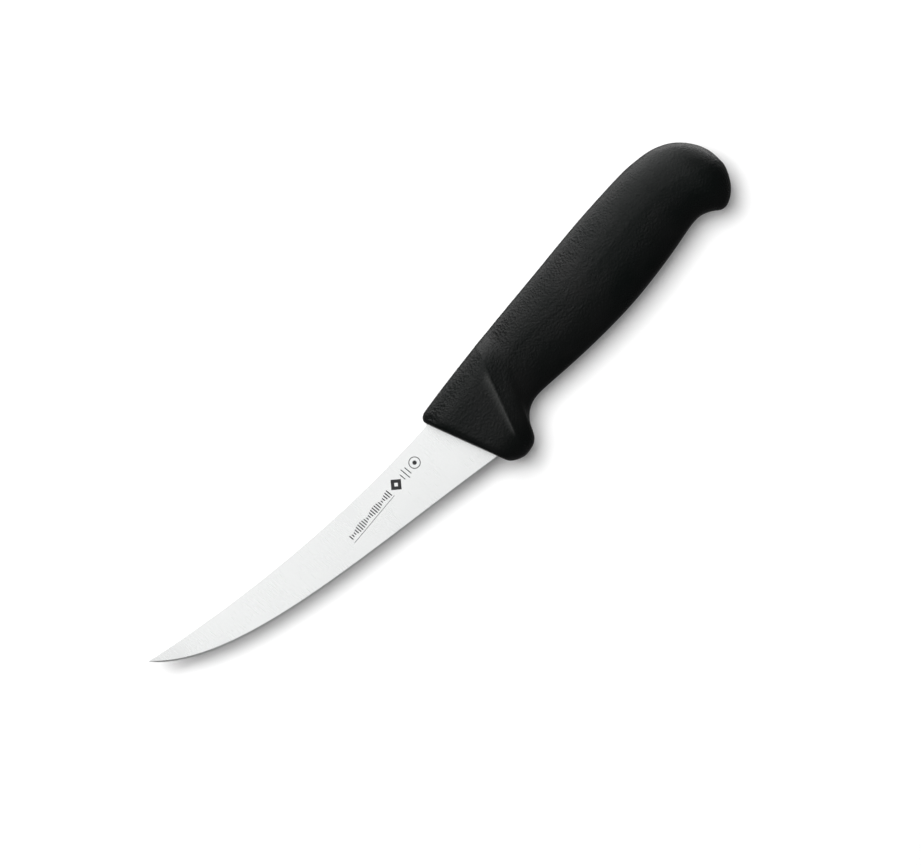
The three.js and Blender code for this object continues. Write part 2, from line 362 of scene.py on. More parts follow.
class Wire:
    """An output socket of a material, on which Python's operators add Math nodes.

    Args:
        board: the material that the socket belongs to.
        socket: the output socket.
    """

    def __init__(self, board: "Board", socket: bpy.types.NodeSocket) -> None:
        """Wraps the socket."""
        self.board = board
        self.socket = socket

    __add__ = __radd__ = math_method("ADD")
    __sub__, __rsub__ = math_method("SUBTRACT"), math_method("SUBTRACT", flipped=True)
    __mul__ = __rmul__ = math_method("MULTIPLY")
    __truediv__, __rtruediv__ = math_method("DIVIDE"), math_method("DIVIDE", flipped=True)
    __lt__, __gt__ = math_method("LESS_THAN"), math_method("GREATER_THAN")
    __abs__ = math_method("ABSOLUTE")
    fraction = math_method("FRACT")
    sine = math_method("SINE")
    root = math_method("SQRT")
    either = math_method("MAXIMUM")


class Board:
    """A material whose nodes are put together in Python.

    Args:
        name: the material's name.
        constants: the shader's own settings that are the same all over.
    """

    def __init__(self, name: str, constants: dict[str, Value]) -> None:
        """Makes the material with its shader and its output."""
        self.material = bpy.data.materials.new(name)
        self.material.use_nodes = True
        self.tree = self.material.node_tree
        self.tree.nodes.clear()
        self.shader = self.tree.nodes.new("ShaderNodeBsdfPrincipled")
        for socket, value in constants.items():
            self.shader.inputs[socket].default_value = value
        output = self.tree.nodes.new("ShaderNodeOutputMaterial")
        self.tree.links.new(self.shader.outputs["BSDF"], output.inputs["Surface"])

    def node(
        self,
        kind: str,
        settings: dict[str, object] | None = None,
        sockets: dict[str | int, Value] | None = None,
        output: str | int = 0,
    ) -> Wire:
        """Adds a node.

        Args:
            kind: the node's type.
            settings: its properties, and a ramp's stops as (place, grey) pairs, which are set first.
            sockets: values or wires for its inputs, by name or index.
            output: which output to return.

        Returns:
            The wire from that output.
        """
        made = self.tree.nodes.new(kind)
        for key, value in (settings or {}).items():
            if key == "stops":
                self.set_stops(made.color_ramp, value)
            else:
                setattr(made, key, value)
        for key, value in (sockets or {}).items():
            self.feed(made.inputs[key], value)
        return Wire(self, made.outputs[output])

    @staticmethod
    def set_stops(ramp: bpy.types.ColorRamp, stops: Sequence[tuple[float, float]]) -> None:
        """Gives a two-stop ramp its stops, as (place, grey) pairs."""
        for element, (place, grey) in zip(ramp.elements, stops, strict=True):
            element.position = place
            element.color = (grey, grey, grey, 1)

    def feed(self, socket: bpy.types.NodeSocket, value: Value) -> None:
        """Links a wire to an input, or sets the input's value.

        Args:
            socket: the input.
            value: the wire, or the value.
        """
        if isinstance(value, Wire):
            self.tree.links.new(value.socket, socket)
        else:
            socket.default_value = value

    def maths(self, operation: str, *values: Value) -> Wire:
        """Returns the result of a Math node."""
        return self.node("ShaderNodeMath", {"operation": operation}, dict(enumerate(values)))

    def mix(self, factor: Value, first: Value, second: Value) -> Wire:
        """Returns a colour that goes from first to second as factor goes from 0 to 1."""
        settings = {"data_type": "RGBA", "blend_type": "MIX"}
        return self.node("ShaderNodeMix", settings, {0: factor, 6: first, 7: second}, output=2)

    def shift(self, factor: Value, first: Value, second: Value) -> Wire:
        """Returns a number that goes from first to second as factor goes from 0 to 1."""
        return self.node("ShaderNodeMix", {"data_type": "FLOAT"}, {0: factor, 2: first, 3: second})

    def drawing_axes(self, origin: Vector) -> Wire:
        """Returns the surface point in the drawing's axes, in millimetres."""
        inputs = {0: self.node("ShaderNodeTexCoord", output="Object"), 1: tuple(origin)}
        centred = self.node("ShaderNodeVectorMath", {"operation": "SUBTRACT"}, inputs)
        return self.stretched(centred, (1 / MM,) * 3)

    def stretched(self, point: Wire, scale: Sequence[float]) -> Wire:
        """Returns a point stretched along each axis."""
        inputs = {"Vector": point, "Scale": tuple(scale)}
        return self.node("ShaderNodeMapping", {"vector_type": "POINT"}, inputs)

    def parts(self, point: Wire) -> list[Wire]:
        """Returns the x, y and z of a point."""
        first = self.node("ShaderNodeSeparateXYZ", sockets={0: point})
        return [Wire(self, output) for output in first.socket.node.outputs]

    def painted(self, layer: str) -> Wire:
        """Returns a float attribute of the mesh."""
        return self.node("ShaderNodeAttribute", {"attribute_name": layer}, output="Fac")

    def noise(self, point: Wire, scale: float, detail: float = 2.0, roughness: float = 0.5) -> Wire:
        """Returns smooth noise from 0 to 1."""
        sockets = {"Vector": point, "Scale": scale, "Detail": detail, "Roughness": roughness}
        return self.node("ShaderNodeTexNoise", {}, sockets)

    def cells(self, point: Wire, scale: float) -> Wire:
        """Returns how far a point is from the nearest of many seeds, with soft creases between them."""
        inputs = {"Vector": point, "Scale": scale}
        return self.node("ShaderNodeTexVoronoi", {"feature": "SMOOTH_F1"}, inputs, "Distance")

    def bump(self, height: Value, distance: float, strength: float = 1.0) -> Wire:
        """Returns normals that are tilted by a height map, with distance in metres."""
        sockets = {"Height": height, "Distance": distance, "Strength": strength}
        return self.node("ShaderNodeBump", {}, sockets)

    def dress(self, **inputs: Value) -> bpy.types.Material:
        """Feeds the shader.

        Args:
            inputs: what goes into each input, with underscores for the spaces in its name.

        Returns:
            The material.
        """
        for name, value in inputs.items():
            self.feed(self.shader.inputs[name.replace("_", " ")], value)
        return self.material


# ---- finishes
def tinted(colour: Sequence[float], share: float) -> tuple[float, ...]:
    """Returns an opaque colour that is a share as bright."""
    return tuple(share * part for part in colour[:3]) + (1,)


@dataclass(frozen=True)
class EtchedRow:
    """A generic ornament, etched along the blade: a wave of fine bars, a lozenge, three rules and a target.

    Args:
        middle: height of the row's middle line.
        wave: where the wave of bars starts and ends.
        pitch: distance between its bars.
        bar_share: width of a bar, as a share of the pitch.
        bar_halves: half height of the shortest bar, and what the highest has on top of that.
        swing: how fast the height of the bars changes, in radians per millimetre.
        underline: distance below the middle line, and half width.
        lozenge: where the lozenge is.
        lozenge_halves: its half width outside and inside.
        rules: where the three rules are.
        rule_halves: their half heights.
        rule_half_width: half of their width.
        target: where the target is.
        target_radii: of its ring and of its dot.
        ring_half_width: half of the ring's width.
    """

    middle: float = -4.75
    wave: tuple[float, float] = (-47.0, -25.8)
    pitch: float = 0.95
    bar_share: float = 0.42
    bar_halves: tuple[float, float] = (0.35, 0.95)
    swing: float = 0.42
    underline: tuple[float, float] = (1.95, 0.09)
    lozenge: float = -22.6
    lozenge_halves: tuple[float, float] = (2.5, 0.85)
    rules: tuple[float, ...] = (-19.2, -17.7, -16.3)
    rule_halves: tuple[float, ...] = (1.2, 2.1, 1.5)
    rule_half_width: float = 0.16
    target: float = -12.8
    target_radii: tuple[float, float] = (1.95, 0.75)
    ring_half_width: float = 0.14

    @staticmethod
    def box(x: Wire, y: Wire, centre: tuple[float, float], half: tuple[float, float]) -> Wire:
        """Returns a mask that is 1 inside a rectangle."""
        return (abs(x - centre[0]) < half[0]) * (abs(y - centre[1]) < half[1])

    def mask(self, x: Wire, y: Wire, z: Wire) -> Wire:
        """Draws the ornament.

        Args:
            x: along the blade.
            y: across the blade.
            z: height above the plane of symmetry.

        Returns:
            1 where the steel is etched, on the upper side only.
        """
        start, end = self.wave
        centre, reach = (start + end) / 2, (end - start) / 2
        least, rise = self.bar_halves
        height = abs((x * self.swing).sine())
        bars = ((x / self.pitch).fraction() < self.bar_share) * (abs(y - self.middle) < least + rise * height)
        drawn = bars * (abs(x - centre) < reach)
        below, half_line = self.underline
        drawn = drawn.either(self.box(x, y, (centre, self.middle - below), (reach, half_line)))
        taxicab = abs(x - self.lozenge) + abs(y - self.middle)
        outside, inside = self.lozenge_halves
        drawn = drawn.either((taxicab < outside) * (taxicab > inside))
        for place, half in zip(self.rules, self.rule_halves, strict=True):
            drawn = drawn.either(self.box(x, y, (place, self.middle), (self.rule_half_width, half)))
        across, up = x - self.target, y - self.middle
        radius = (across * across + up * up).root()
        ring, dot = self.target_radii
        drawn = drawn.either((abs(radius - ring) < self.ring_half_width).either(radius < dot))
        return drawn * (z > 0)


@dataclass(frozen=True)
class GroundSteel:
    """Stainless steel, satin ground across the blade, with a polished bevel and an etched ornament.

    Args:
        colour: of the clean steel.
        etched_colour: inside the ornament.
        roughness: of the ground sides.
        bevel_roughness: of the sharpened bevel.
        etched_roughness: inside the ornament.
        ornament: what is etched on the blade.
    """

    colour: tuple[float, ...] = (0.88, 0.89, 0.887, 1)
    etched_colour: tuple[float, ...] = (0.075, 0.075, 0.078, 1)
    roughness: float = 0.27
    bevel_roughness: float = 0.46
    etched_roughness: float = 0.62
    ornament: EtchedRow = EtchedRow()

    def build(self, origin: Vector) -> bpy.types.Material:
        """Makes the material.

        Args:
            origin: the drawing's origin in the model's frame.

        Returns:
            The material.
        """
        board = Board("ground_steel", {"Metallic": 1.0, "Specular IOR Level": 0.5})
        point = board.drawing_axes(origin)
        x, y, z = board.parts(point)
        etched = self.ornament.mask(x, y, z)
        bevel = board.painted("bevel")
        strokes = board.noise(board.stretched(point, (5.5, 0.14, 0.3)), 1.0, 5.0, 0.65)
        fine = board.noise(board.stretched(point, (16.0, 0.35, 1.0)), 1.0, 3.0, 0.6)
        blotches = board.noise(board.stretched(point, (0.06, 0.09, 0.1)), 1.0, 2.0)
        ground = self.roughness + 0.04 * (strokes - 0.5) + 0.05 * (blotches - 0.5)
        honed = board.shift(bevel, ground, self.bevel_roughness)
        roughness = board.shift(etched, honed, self.etched_roughness)
        shade = board.mix(0.5 * strokes, self.colour, tinted(self.colour, 0.985))
        colour = board.mix(etched, shade, self.etched_colour)
        scratches = (strokes + 0.6 * fine) * (1 - bevel) - 1.5 * etched
        normal = board.bump(scratches, 0.0000012, 0.6)
        return board.dress(Base_Color=colour, Roughness=roughness, Normal=normal)


@dataclass(frozen=True)
class MouldedSkin:
    """Matt black elastomer with a fine moulded grain, a parting line, signs of handling and a painted
    highlight along the ridge.

    Args:
        colour: of the clean skin.
        worn_colour: where hands have polished it.
        ridge_highlight_colour: painted highlight, a lighter grey on the top of the ridge behind the side
            flats.
        roughness: of the clean skin.
        grain: height of the grain, in metres.
        grain_cell: width of one grain, in millimetres.
        parting_width: of the line left by the mould, in millimetres.
    """

    colour: tuple[float, ...] = (0.0026, 0.0036, 0.0033, 1)
    worn_colour: tuple[float, ...] = (0.0065, 0.0068, 0.0067, 1)
    ridge_highlight_colour: tuple[float, ...] = (0.03, 0.031, 0.03, 1)
    roughness: float = 0.29
    grain: float = 0.0002
    grain_cell: float = 0.75
    parting_width: float = 0.16

    def build(self, origin: Vector) -> bpy.types.Material:
        """Makes the material.

        Args:
            origin: the drawing's origin in the model's frame.

        Returns:
            The material.
        """
        board = Board("moulded_skin", {"Metallic": 0.0, "IOR": 1.5, "Specular IOR Level": 0.12})
        point = board.drawing_axes(origin)
        z = board.parts(point)[2]
        warped = board.noise(point, 0.8, 2.0)
        pebbles = board.cells(board.stretched(point, (1.0, 1.15, 1.0)), 1 / self.grain_cell)
        grit = board.noise(point, 2.4, 3.0, 0.62)
        parting = abs(z) < self.parting_width / 2
        relief = 0.75 * pebbles + 0.55 * grit + 0.2 * warped + 0.7 * parting
        patches = board.noise(board.stretched(point, (0.045, 0.06, 0.06)), 1.0, 3.0)
        wear = board.node("ShaderNodeValToRGB", {"stops": [(0.42, 0.0), (0.72, 1.0)]}, {0: patches})
        # painted highlight: a much lighter grey on the ridge's marked vertices, with lower roughness as if
        # polished
        highlight_and_polish_mask = board.painted("highlight_and_polish")
        highlight_and_polish_share = highlight_and_polish_mask * highlight_and_polish_mask
        colour = board.mix(highlight_and_polish_share, board.mix(wear, self.colour, self.worn_colour), self.ridge_highlight_colour)
        roughness = self.roughness + 0.1 * (grit - 0.5) - 0.07 * wear - 0.1 * highlight_and_polish_share
        normal = board.bump(relief, self.grain, 1.0)
        return board.dress(Base_Color=colour, Roughness=roughness, Normal=normal)


@dataclass(frozen=True)
class HardCore:
    """Glass-filled plastic as it comes from the mould: dark, hard, with faint flow marks.

    Args:
        colour: of the plastic.
        roughness: of the plastic.
    """

    colour: tuple[float, ...] = (0.035, 0.036, 0.037, 1)
    roughness: float = 0.42

    def build(self, origin: Vector) -> bpy.types.Material:
        """Makes the material.

        Args:
            origin: the drawing's origin in the model's frame.

        Returns:
            The material.
        """
        board = Board("hard_core", {"Metallic": 0.0, "IOR": 1.5})
        point = board.drawing_axes(origin)
        flow = board.noise(board.stretched(point, (0.05, 0.3, 0.3)), 1.0, 4.0)
        fibres = board.noise(board.stretched(point, (0.9, 6.0, 6.0)), 1.0, 2.0)
        colour = board.mix(0.6 * flow * fibres, self.colour, tinted(self.colour, 1.8))
        roughness = self.roughness + 0.2 * (flow - 0.5) + 0.1 * (fibres - 0.5)
        return board.dress(Base_Color=colour, Roughness=roughness, Normal=board.bump(fibres, 0.00001, 0.8))


# ---- grip
@dataclass(frozen=True)
class Slice:
    """A slice across the handle, from a point on its back to a point on its belly.

    Args:
        back: x and y of the back point.
        belly: x and y of the belly point.
        halves: half thickness at the back and at the belly.
        rounding: the share of the slice that rounds off, at the back and at the belly.
        fullness: 2 for elliptical corners, more for squarer ones.
    """

    back: tuple[float, float]
    belly: tuple[float, float]
    halves: tuple[float, float]
    rounding: tuple[float, float] = (0.42, 0.54)
    fullness: float = 2.2


@dataclass
class GripSkin:
    """The grip: its outer skin, the slot for the blade and the cavity for the core, as one closed skin.

    Args:
        drawing: where it is drawn.
        length: from the drawing's origin to the end of the butt.
        thickness: across the side flats, the palm swell and the pommel.
        waist_thickness: where thumb and index finger go, at the belly.
        face_border: rounding from the side flats to the front face.
        back_height: the back of the handle, above the drawing's origin.
        ridge_x: where the ridge behind the side flats reaches the back.
        guard_depth: this depth and the next four are from the back of the handle.
        notch_depth: the finger notch.
        palm_depth: the palm swell.
        throat_depth: in front of the hook.
        hook_depth: the hook at the butt.
        butt_length: hook and rounded butt.
        arc_steps: points over the rounding at the back and at the belly.
        flat_steps: spans between them.
        spans: rings from one slice to the next.
        ridge_slice: index of the slice that carries the ridge.
        ridge_stop: points before the belly at which the ridge ends.
        crease: sharpness of the ridge, from 0 to 1.
        smoothing: levels of subdivision.
        heel: heights of the spine and of the edge, where the blade leaves the handle.
        heel_halves: the blade's half thickness at those two.
        slot_gap: clearance round the blade at the mouth of the slot.
        slot_mouth: depth of that close part of the slot.
        cavity_cover: the cavity is only cut deeper than this, which is less than the skin's wall.
        sharp_angle: edges that bend by more degrees than this are shaded sharp.
    """

    drawing: Drawing
    length: float = 133.8
    thickness: float = 21.0
    waist_thickness: float = 16.6
    face_border: float = 2.9
    back_height: float = 5.5
    ridge_x: float = 30.4
    guard_depth: float = 37.9
    notch_depth: float = 27.8
    palm_depth: float = 32.5
    throat_depth: float = 30.8
    hook_depth: float = 35.7
    butt_length: float = 24.0
    arc_steps: tuple[int, int] = (6, 7)
    flat_steps: int = 3
    spans: int = 2
    ridge_slice: int = 5
    ridge_stop: int = 6
    crease: float = 0.5
    smoothing: int = 2
    heel: tuple[float, float] = (0.5, -25.7)
    heel_halves: tuple[float, float] = (1.0, 0.2)
    slot_gap: float = 0.12
    slot_mouth: float = 1.6
    cavity_cover: float = 1.0
    sharp_angle: float = 50.0

    def butt(self, distance: float, y: float) -> tuple[float, float]:
        """Returns the point at a height that lies a distance before the end of the butt."""
        return (self.length - distance, y)

    def body(self, share: float, y: float) -> tuple[float, float]:
        """Returns the point at a height that lies a share of the way from the ridge to the hook."""
        return (lerp(self.ridge_x + 6, self.length - self.butt_length, share), y)

    def swell(self, back: float, belly: float) -> tuple[float, float]:
        """Returns half thicknesses that lie shares of the way from waist to palm."""
        waist, palm = self.waist_thickness, self.thickness
        return (lerp(waist, palm, back) / 2, lerp(waist, palm, belly) / 2)

    def thin(self, back: float, belly: float) -> tuple[float, float]:
        """Returns shares of the full half thickness."""
        return (self.thickness / 2 * back, self.thickness / 2 * belly)

    def slices(self) -> list[Slice]:
        """Lists the slices that give the handle its shape.

        Returns:
            The slices, from the front face to the butt.
        """
        top, ridge = self.back_height, self.ridge_x
        guard, notch = top - self.guard_depth, top - self.notch_depth
        palm, throat, hook = top - self.palm_depth, top - self.throat_depth, top - self.hook_depth
        face, body, butt, swell, thin = self.drawing.on_face, self.body, self.butt, self.swell, self.thin
        full, flat, side, end = self.thickness / 2, thin(1, 1), (0.27, 0.33), (0.47, 0.49)
        border = [(lerp(full - self.face_border, full, share),) * 2 for share in (0.0, 0.62, 0.9)]
        return [
            Slice(face(0, 1.1), face(0, guard + 4.8), border[0], (0.16, 0.2), 2.4),
            Slice(face(1, top - 2.8), face(0.2, guard + 3.1), border[1], (0.17, 0.24), 2.4),
            Slice(face(2.7, top - 1.85), face(1.3, guard + 1.65), border[2], side, 2.4),
            Slice(face(5.1, top - 1.5), face(2.3, guard + 0.95), flat, side, 2.4),
            Slice((16.4, top - 0.85), face(3.2, guard + 0.45), flat, side, 2.4),
            Slice((ridge, top - 0.4), face(3.9, guard + 0.15), flat, side, 2.4),
            Slice((ridge + 1.0, top - 0.35), face(4.9, guard), swell(0.97, 0.88), (0.255, 0.33), 2.35),
            Slice((ridge + 2.2, top - 0.35), face(6.3, guard), swell(0.9, 0.7), (0.26, 0.38), 2.3),
            Slice((ridge + 4.2, top - 0.3), face(9.1, guard + 0.4), swell(0.78, 0.44), (0.28, 0.46), 2.3),
            Slice((ridge + 6.4, top - 0.3), face(12, guard + 2.1), swell(0.68, 0.24), (0.31, 0.54)),
            Slice((ridge + 8.8, top - 0.25), face(14.6, guard + 5.1), swell(0.62, 0.1), (0.35, 0.58)),
            Slice((ridge + 11.4, top - 0.2), face(17.8, notch - 2.2), swell(0.6, 0), (0.37, 0.6)),
            Slice((ridge + 15, top - 0.2), face(22.1, notch - 0.3), swell(0.6, 0.02), (0.37, 0.6)),
            Slice(body(0.17, top - 0.15), (ridge + 3.2, notch), swell(0.64, 0.14), (0.38, 0.59)),
            Slice(body(0.27, top - 0.1), body(0.12, lerp(notch, palm, 0.38)), swell(0.73, 0.42), (0.4, 0.57)),
            Slice(body(0.41, top), body(0.31, lerp(notch, palm, 0.76)), swell(0.88, 0.8)),
            Slice(body(0.56, top + 0.15), body(0.52, palm - 0.05), flat),
            Slice(body(0.7, top + 0.15), body(0.69, palm), flat),
            Slice(body(0.86, top - 0.25), body(0.87, lerp(palm, throat, 0.45)), swell(0.95, 0.92)),
            Slice(butt(25, top - 0.75), butt(24.5, throat + 0.05), swell(0.93, 0.88), (0.44, 0.52)),
            Slice(butt(19.5, top - 1.6), butt(19.2, throat - 0.15), swell(0.94, 0.88), end),
            Slice(butt(13.9, top - 2.9), butt(15.3, hook + 2.6), swell(0.97, 0.92), end, 2.15),
            Slice(butt(9.7, top - 4.8), butt(13.2, hook + 0.6), swell(1, 0.95), end, 2.1),
            Slice(butt(6.3, top - 7.2), butt(10.7, hook), thin(0.97, 0.93), end, 2.1),
            Slice(butt(3.7, top - 10.2), butt(7.6, hook + 1.1), thin(0.89, 0.85), end, 2.05),
            Slice(butt(1.9, top - 13.2), butt(4.6, hook + 3.3), thin(0.74, 0.72), end, 2.0),
            Slice(butt(0.7, top - 16.2), butt(2.1, hook + 6.6), thin(0.5, 0.5), end, 2.0),
            Slice(butt(0, top - 19.4), butt(0.3, hook + 10.1), thin(0.22, 0.22), end, 2.0),
        ]

    def outline(self, cut: Slice) -> list[tuple[float, float]]:
        """Draws one side of a slice.

        Args:
            cut: the slice.

        Returns:
            Points from the back to the belly, as shares of the way there and of the half thickness.
        """
        power = 2 / cut.fullness
        back, belly = self.arc_steps
        side = []
        for step in range(back):
            angle = step / back * math.pi / 2
            side.append((cut.rounding[0] * (1 - math.cos(angle) ** power), math.sin(angle) ** power))
        for step in range(self.flat_steps + 1):
            side.append((lerp(cut.rounding[0], 1 - cut.rounding[1], step / self.flat_steps), 1.0))
        for step in range(belly - 1, -1, -1):
            angle = step / belly * math.pi / 2
            side.append((1 - cut.rounding[1] * (1 - math.cos(angle) ** power), math.sin(angle) ** power))
        return side

    def ring(self, cut: Slice) -> list[Vector]:
        """Places a slice's points.

        Args:
            cut: the slice.

        Returns:
            The points in the model's frame, round from the back over the upper side.
        """
        upper, lower = [], []
        for share, height in self.outline(cut):
            x = lerp(cut.back[0], cut.belly[0], share)
            y = lerp(cut.back[1], cut.belly[1], share)
            z = height * lerp(cut.halves[0], cut.halves[1], share)
            upper.append(self.drawing.place(x, y, z))
            lower.append(self.drawing.place(x, y, -z))
        return upper + lower[-2:0:-1]

    def blended(self) -> list[Slice]:
        """Adds smooth slices between the listed ones.

        Returns:
            All of them, from the front face to the butt.
        """
        cuts = self.slices()
        backs = [Vector((*cut.back, cut.halves[0])) for cut in cuts]
        bellies = [Vector((*cut.belly, cut.halves[1])) for cut in cuts]
        shapes = [Vector((*cut.rounding, cut.fullness)) for cut in cuts]
        full = self.thickness / 2
        made = []
        for step in range((len(cuts) - 1) * self.spans + 1):
            place = step / self.spans
            back, belly = catmull(backs, place), catmull(bellies, place)
            lower = min(int(place), len(cuts) - 2)
            shape = shapes[lower].lerp(shapes[lower + 1], place - lower)
            halves = (min(back.z, full), min(belly.z, full))
            made.append(Slice((back.x, back.y), (belly.x, belly.y), halves, (shape.x, shape.y), shape.z))
        return made

    def slot_cutter(self) -> bpy.types.Object:
        """Makes a wedge that cuts the mouth of the blade's slot, close round the heel.

        Returns:
            The wedge.
        """
        top, bottom = self.heel
        height, half = top - bottom + 2 * self.slot_gap, self.heel_halves[0] + self.slot_gap
        taper = (self.heel_halves[1] + self.slot_gap) / half
        mesh = bmesh.new()
        cube = bmesh.ops.create_cube(mesh, size=1.0)["verts"]
        bmesh.ops.scale(mesh, vec=(1, 1, taper), verts=[vertex for vertex in cube if vertex.co.y < 0])
        bmesh.ops.scale(mesh, vec=(2 * self.slot_mouth, height, 2 * half), verts=cube)
        bmesh.ops.translate(mesh, vec=(0, (top + bottom) / 2, 0), verts=cube)
        lean = Matrix.Identity(4)
        lean[0][1] = -self.drawing.face_slope
        bmesh.ops.transform(mesh, matrix=lean, verts=cube)
        bmesh.ops.scale(mesh, vec=(MM, MM, MM), verts=cube)
        bmesh.ops.translate(mesh, vec=self.drawing.origin, verts=cube)
        return make_object("slot_cutter", mesh)

    def hollow(self, piece: bpy.types.Object) -> None:
        """Cuts the cavity where the CAD model has it, and the mouth of the slot.

        Args:
            piece: the grip's outer skin, as a solid.
        """
        cavity = cutting_copy(piece, -self.cavity_cover * MM)
        carve(cavity, [cutting_copy(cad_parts["handle_grip"])], self.sharp_angle)
        carve(piece, [cavity, self.slot_cutter()], self.sharp_angle)

    def build(self, material: bpy.types.Material) -> bpy.types.Object:
        """Builds the grip.

        Args:
            material: the skin's finish.

        Returns:
            The grip's object.
        """
        side_points = sum(self.arc_steps) + self.flat_steps + 1
        loft = RingLoft(2 * (side_points - 1))
        rings = [loft.add(self.ring(cut)) for cut in self.blended()]
        loft.cap(rings[-1])
        loft.cap(rings[0])
        ridge = rings[self.ridge_slice * self.spans]
        count, start, end = len(ridge), self.arc_steps[0], side_points - self.ridge_stop
        loft.sharpen(ridge, self.crease, start, end)
        loft.sharpen(ridge, self.crease, count - end, count - start)
        # the ridge's marked vertices get a painted highlight from the skin's material
        loft.mark_highlight_and_polish(ridge[start:end] + ridge[count - end + 1 : count - start + 1])
        piece = make_piece("handle_grip_skin", loft.finish(), material)
        subdivide(piece, self.smoothing)
        bake(piece, self.sharp_angle)
        self.hollow(piece)
        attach(piece, ROOT)
        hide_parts("handle_grip")
        return piece


# ---- blade
SECTION_POINTS = 16
BEVEL_POINTS = slice(6, 11)
GROUND_SHARES = (0.35, 0.7)


@dataclass
class Blade:
    """The steel blank: the ground blade and the tang inside the handle.

    Args:
        drawing: where it is drawn.
        reach: from the drawing's origin to the tip, along X.
        tip_rise: height of the tip above the origin.
        heel_top: where the spine meets the front face.
        heel_height: spine to edge, where the blade leaves the handle.
        spine_thickness: at the heel.
        tip_thickness: near the tip.
        shoulder_thickness: just behind the sharpened bevel.
        bevel_width: of the sharpened bevel.
        spine_radius: rounding of the spine's corners.
        steepest: greatest slope of the ground sides, which thins the blade at its narrow tip.
        shoulder_depth: how far the blade's full height goes into the handle.
        tang_end: where the tang ends, along X.
        tang_middle: height of the tang's middle line.
        tang_heights: of the tang at the shoulder and at its end.
        tang_corner: radius of its two end corners.
        ledge: thickness of the tang at the shoulder, as a share of the blade's there.
        holes: where the tang's holes are, along X.
        hole_radius: of those holes.
        stations: rings along the blade.
        last_share: where the last ring is, as a share of the way to the tip.
        corner_steps: spans round the corners of the tang's end.
        plate_steps: spans from there to its thinner front.
        front_length: of that front, behind the shoulder.
        sharp_angle: edges that bend by more degrees than this are shaded sharp.
    """

    drawing: Drawing
    reach: float = 123.6
    tip_rise: float = 21.3
    heel_top: float = 0.5
    heel_height: float = 26.2
    spine_thickness: float = 2.0
    tip_thickness: float = 0.9
    shoulder_thickness: float = 0.4
    bevel_width: float = 0.8
    spine_radius: float = 0.22
    steepest: float = 0.05
    shoulder_depth: float = 3.2
    tang_end: float = 92.1
    tang_middle: float = -8.4
    tang_heights: tuple[float, float] = (15.0, 11.0)
    tang_corner: float = 3.0
    ledge: float = 0.88
    holes: tuple[float, ...] = (28.0, 52.05, 76.1)
    hole_radius: float = 3.2
    stations: int = 72
    last_share: float = 0.9985
    corner_steps: int = 5
    plate_steps: int = 7
    front_length: float = 4.0
    sharp_angle: float = 8.0

    def curve(self, start: Vector, bends: Sequence[tuple[float, float]], share: float) -> Vector:
        """Reads a curve from the front face to the tip.

        Args:
            start: where the curve leaves the front face.
            bends: two control points, as shares of the way along X and along Y.
            share: how far along.

        Returns:
            The point there, in the drawing's plane.
        """
        tip = Vector((-self.reach, self.tip_rise))
        first, second = (Vector((lerp(start.x, tip.x, x), lerp(start.y, tip.y, y))) for x, y in bends)
        return bezier(start, first, second, tip, share)

    def on_face(self, y: float) -> Vector:
        """Returns the point of the handle's front face at a height."""
        return Vector(self.drawing.on_face(0, y))

    def spine(self, share: float) -> Vector:
        """Returns the point of the spine at a share of the way to the tip."""
        return self.curve(self.on_face(self.heel_top), ((0.486, 0.097), (0.848, 0.759)), share)

    def edge(self, share: float) -> Vector:
        """Returns the point of the cutting edge at a share of the way to the tip."""
        heel = self.on_face(self.heel_top - self.heel_height)
        return self.curve(heel, ((0.433, 0.3), (0.858, 0.457)), share)

    @staticmethod
    def corner(half: float, radius: float) -> list[tuple[float, float]]:
        """Returns the first points of a section's side, round a corner."""
        inset = 0.3 * radius
        return [(0.0, 0.0), (0.0, half - radius), (inset, half - inset)]

    def section(self, spine: Vector, edge: Vector, thickness: float) -> list[Vector]:
        """Makes a section of the blade. Where it is low, near the tip, shares of its height limit the rest.

        Args:
            spine: its upper point, in the drawing's plane.
            edge: its lower point.
            thickness: at the spine.

        Returns:
            Its points in the model's frame, round from the spine over the upper side.
        """
        length = (edge - spine).length
        bevel = min(self.bevel_width, 0.3 * length)
        ground = length - bevel
        behind = min(self.shoulder_thickness / 2, 0.07 * length)
        half = min(thickness / 2, behind + self.steepest * ground)
        radius = min(self.spine_radius, 0.3 * half, 0.1 * length)
        side = self.corner(half, radius)
        for depth in (radius, *(share * ground for share in GROUND_SHARES)):
            side.append((depth, lerp(half, behind, depth / ground)))
        side += [(ground, behind), (length - 0.02 * bevel, 0.1 * behind), (length, 0.0)]
        return self.both_sides(spine, (edge - spine) / length, side)

    def both_sides(
        self, start: Vector, direction: Vector, side: Sequence[tuple[float, float]]
    ) -> list[Vector]:
        """Mirrors one side of a section.

        Args:
            start: the section's first point, in the drawing's plane.
            direction: from there to its last point.
            side: depths along that direction, with the half thickness at each.

        Returns:
            The points in the model's frame, round over the upper side and back under the lower one.
        """
        upper, lower = [], []
        for depth, half in side:
            point = start + direction * depth
            upper.append(self.drawing.place(point.x, point.y, half))
            lower.append(self.drawing.place(point.x, point.y, -half))
        return upper + lower[-2:0:-1]

    def tang_section(self, top: Vector, bottom: Vector, halves: tuple[float, float]) -> list[Vector]:
        """Makes a section of the tang.

        Args:
            top: its upper point, in the drawing's plane.
            bottom: its lower point.
            halves: half thickness at those two.

        Returns:
            Its points in the model's frame, in the same order as a blade section's.
        """
        height, radius = (bottom - top).length, self.spine_radius
        side = self.corner(halves[0], radius)
        for depth in (radius, *(share * height for share in GROUND_SHARES), height - radius):
            side.append((depth, lerp(*halves, depth / height)))
        side += [(height, halves[1] - radius), (height, 0.0)]
        return self.both_sides(top, (bottom - top).normalized(), side)

    def heel_half(self, y: float) -> float:
        """Returns the half thickness of the blade's heel at a height."""
        depth = (self.heel_top - y) / (self.heel_height - self.bevel_width)
        return lerp(self.spine_thickness, self.shoulder_thickness, depth) / 2

